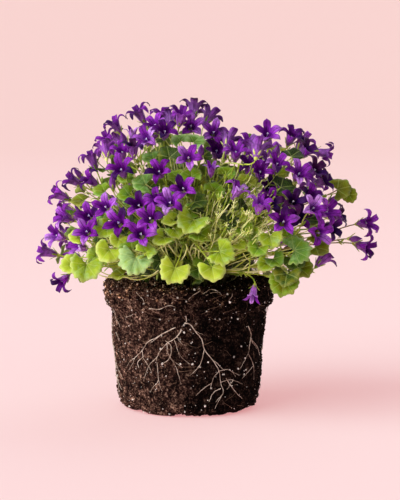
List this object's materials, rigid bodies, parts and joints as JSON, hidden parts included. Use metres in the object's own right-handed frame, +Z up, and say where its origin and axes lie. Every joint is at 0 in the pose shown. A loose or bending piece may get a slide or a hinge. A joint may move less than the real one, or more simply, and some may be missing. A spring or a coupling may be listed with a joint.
{
  "type": "bellflower plant on its bare root ball",
  "caption": "Low mounded bellflower with starry bells on thin stalks and scalloped leaves, standing on its bare, pot-moulded root ball.",
  "frame": {"origin": "centre of the root ball's flat base, on the surface that it stands on", "axes": "+Z up; the side seen in the picture faces -Y; +X to the right as seen in the picture"},
  "size_m": [0.2369, 0.1983, 0.2155],
  "materials": {
    "soil": "matt crumbly potting soil with pale grains",
    "pale_root": "matt pale root skin",
    "leaf_green": "soft satin leaf",
    "violet_bloom": "soft velvety petal"
  },
  "bodies": {
    "root": {"root_ball": "soil", "root_1": "pale_root", "root_2": "pale_root", "root_3": "pale_root", "root_4": "pale_root", "root_5": "pale_root", "root_6": "pale_root", "root_7": "pale_root", "leafy_shoot_01": "leaf_green", "leafy_shoot_02": "leaf_green", "leafy_shoot_03": "leaf_green", "leafy_shoot_04": "leaf_green", "leafy_shoot_05": "leaf_green", "leafy_shoot_06": "leaf_green", "leafy_shoot_07": "leaf_green", "leafy_shoot_08": "leaf_green", "leafy_shoot_09": "leaf_green", "leafy_shoot_10": "leaf_green", "leafy_shoot_11": "leaf_green", "leafy_shoot_12": "leaf_green", "leafy_shoot_13": "leaf_green", "leafy_shoot_14": "leaf_green", "leafy_shoot_15": "leaf_green", "leafy_shoot_16": "leaf_green", "leafy_shoot_17": "leaf_green", "flower_spray_01": "violet_bloom", "flower_spray_02": "violet_bloom", "flower_spray_03": "violet_bloom", "flower_spray_04": "violet_bloom", "flower_spray_05": "violet_bloom", "flower_spray_06": "violet_bloom", "flower_spray_07": "violet_bloom", "flower_spray_08": "violet_bloom", "flower_spray_09": "violet_bloom", "flower_spray_10": "violet_bloom", "flower_spray_11": "violet_bloom", "flower_spray_12": "violet_bloom", "flower_spray_13": "violet_bloom", "flower_spray_14": "violet_bloom", "flower_spray_15": "violet_bloom", "flower_spray_16": "violet_bloom", "flower_spray_17": "violet_bloom", "flower_spray_18": "violet_bloom", "flower_spray_19": "violet_bloom", "flower_spray_20": "violet_bloom", "flower_spray_21": "violet_bloom", "flower_spray_22": "violet_bloom", "flower_spray_23": "violet_bloom", "flower_spray_24": "violet_bloom", "flower_spray_25": "violet_bloom", "flower_spray_26": "violet_bloom", "flower_spray_27": "violet_bloom", "flower_spray_28": "violet_bloom", "flower_spray_29": "violet_bloom", "flower_spray_30": "violet_bloom", "flower_spray_31": "violet_bloom", "flower_spray_32": "violet_bloom", "flower_spray_33": "violet_bloom", "flower_spray_34": "violet_bloom", "flower_spray_35": "violet_bloom"}
  },
  "joints": []
}
